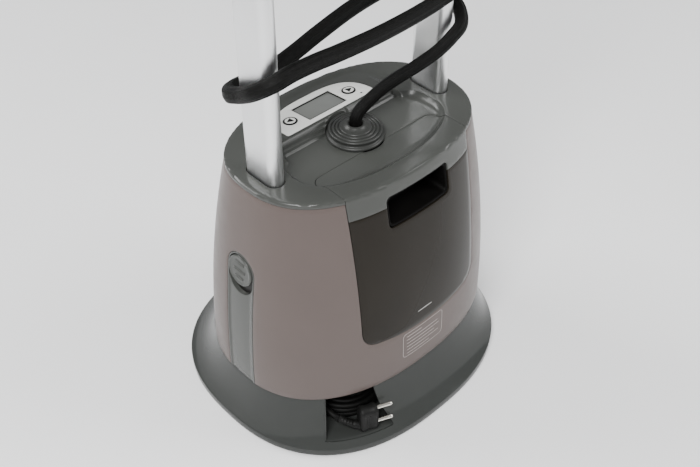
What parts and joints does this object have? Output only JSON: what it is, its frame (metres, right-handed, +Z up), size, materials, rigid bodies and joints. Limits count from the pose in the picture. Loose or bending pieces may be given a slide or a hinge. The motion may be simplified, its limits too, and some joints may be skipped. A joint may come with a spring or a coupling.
{
  "type": "garment steamer",
  "caption": "Upright garment steamer: wide base, tapered body, lift-out smoked water tank, flat telescoping poles, steam head on a wound woven hose and a fold-out hanger.",
  "frame": {"origin": "centre of the base outline, on the surface the rubber feet stand on", "axes": "+Z up along the poles; the water tank faces -Y; the poles stand at -X (left) and +X (right), left and right as seen from the tank side"},
  "size_m": [0.37, 0.33, 0.884],
  "materials": {
    "mauve_casing": "satin moulded plastic, warm taupe",
    "grey_plastic": "glossy moulded plastic, mid grey",
    "dark_grey_plastic": "high-gloss moulded plastic, dark grey",
    "smoked_plastic": "smoked translucent plastic, polished",
    "black_plastic": "fine matt moulded plastic, black",
    "silver_panel": "satin light silver lacquer on plastic",
    "screen": "unlit reflective liquid crystal window",
    "circuit_board": "green solder resist",
    "pole_aluminium": "satin anodised extrusion",
    "cast_metal": "rough die casting",
    "bright_steel": "bright drawn and brushed",
    "plug_pins": "nickel plated brass",
    "black_rubber": "soft black moulding",
    "cord_sheath": "smooth black cord sheath",
    "woven_hose": "black braided polyester sleeve",
    "white_plastic": "natural white nylon"
  },
  "bodies": {
    "root": {"base_skirt": "dark_grey_plastic", "base_plate": "dark_grey_plastic", "foot_front_left": "black_rubber", "foot_front_right": "black_rubber", "foot_rear_left": "black_rubber", "foot_rear_right": "black_rubber", "cord_bay": "grey_plastic", "chassis_plate": "black_plastic", "body_shell": "mauve_casing", "side_strip_left": "grey_plastic", "side_strip_right": "grey_plastic", "latch_spring_left": "bright_steel", "latch_spring_right": "bright_steel", "pole_socket_left": "black_plastic", "pole_socket_right": "black_plastic", "lower_pole_left": "pole_aluminium", "lower_pole_right": "pole_aluminium", "tank_well": "black_plastic", "valve_seat": "black_rubber", "top_deck": "grey_plastic", "panel_plate": "silver_panel", "display": "screen", "control_board": "circuit_board", "hose_gland": "dark_grey_plastic", "boiler": "cast_metal", "heating_element": "bright_steel", "steam_pipe": "black_rubber", "pump": "white_plastic", "water_tube": "black_rubber", "feed_tube": "black_rubber", "pole_bridge": "black_plastic", "head_cradle": "black_plastic", "head_shell": "silver_panel", "head_faceplate": "bright_steel", "hose_cuff": "black_rubber", "steam_hose": "woven_hose", "cord_relief": "black_rubber", "cord_coil": "cord_sheath", "cord_lead": "cord_sheath", "power_cord": "cord_sheath", "plug_body": "black_rubber", "plug_pin_upper": "plug_pins", "plug_pin_lower": "plug_pins"},
    "mast": {"upper_pole_left": "pole_aluminium", "upper_pole_right": "pole_aluminium", "hanger_bar": "black_plastic"},
    "hanger_left": {"hanger_arm_left": "grey_plastic"},
    "hanger_right": {"hanger_arm_right": "grey_plastic"},
    "clamp_left": {"clamp_lever_left": "grey_plastic"},
    "clamp_right": {"clamp_lever_right": "grey_plastic"},
    "tank": {"water_tank": "smoked_plastic", "grip_cup": "black_plastic", "valve_spring": "bright_steel"},
    "lid": {"tank_lid": "grey_plastic"},
    "valve": {"valve_plunger": "white_plastic"},
    "key_left": {"button_left": "silver_panel"},
    "key_right": {"button_right": "silver_panel"},
    "latch_left": {"pole_latch_left": "grey_plastic"},
    "latch_right": {"pole_latch_right": "grey_plastic"},
    "trigger": {"head_trigger": "black_plastic"}
  },
  "joints": [
    {"name": "poles_extend", "type": "slide", "parent": "root", "child": "mast", "axis": [0, 0, 1], "range_m": [0, 0.45]},
    {"name": "hanger_left_unfold", "type": "hinge", "parent": "mast", "child": "hanger_left", "pos_m": [-0.112, -0.0156, 0.878], "axis": [0, -1, 0], "range_deg": [0, 190]},
    {"name": "hanger_right_unfold", "type": "hinge", "parent": "mast", "child": "hanger_right", "pos_m": [0.112, -0.0156, 0.878], "axis": [0, 1, 0], "range_deg": [0, 190]},
    {"name": "clamp_left_open", "type": "hinge", "parent": "root", "child": "clamp_left", "pos_m": [-0.1345, -0.0156, 0.786], "axis": [0, 1, 0], "range_deg": [0, 95]},
    {"name": "clamp_right_open", "type": "hinge", "parent": "root", "child": "clamp_right", "pos_m": [0.1345, -0.0156, 0.786], "axis": [0, -1, 0], "range_deg": [0, 95]},
    {"name": "tank_lift", "type": "slide", "parent": "root", "child": "tank", "axis": [0, -0.5, 0.866], "range_m": [0, 0.16]},
    {"name": "lid_lift", "type": "slide", "parent": "tank", "child": "lid", "axis": [0, 0, 1], "range_m": [0, 0.028]},
    {"name": "valve_close", "type": "slide", "parent": "tank", "child": "valve", "axis": [0, 0, -1], "range_m": [0, 0.004], "deforming": ["valve_spring"]},
    {"name": "button_left_press", "type": "slide", "parent": "root", "child": "key_left", "axis": [0, -0.1002, -0.995], "range_m": [0, 0.0012], "stiffness_N_per_m": 900, "springref_m": -0.0006},
    {"name": "button_right_press", "type": "slide", "parent": "root", "child": "key_right", "axis": [0, -0.1002, -0.995], "range_m": [0, 0.0012], "stiffness_N_per_m": 900, "springref_m": -0.0006},
    {"name": "latch_left_release", "type": "slide", "parent": "root", "child": "latch_left", "axis": [-0.1321, 0, -0.9912], "range_m": [0, 0.01], "stiffness_N_per_m": 260, "springref_m": -0.008, "deforming": ["latch_spring_left"]},
    {"name": "latch_right_release", "type": "slide", "parent": "root", "child": "latch_right", "axis": [0.1321, 0, -0.9912], "range_m": [0, 0.01], "stiffness_N_per_m": 260, "springref_m": -0.008, "deforming": ["latch_spring_right"]},
    {"name": "trigger_pull", "type": "hinge", "parent": "root", "child": "trigger", "pos_m": [0, -0.0732, 0.748], "axis": [1, 0, 0], "range_deg": [0, 8], "stiffness_Nm_per_rad": 0.09, "springref_deg": -6.88}
  ],
  "couplings": [
    {"joint": "valve_close", "follows": "tank_lift", "ratio": 0.025}
  ]
}
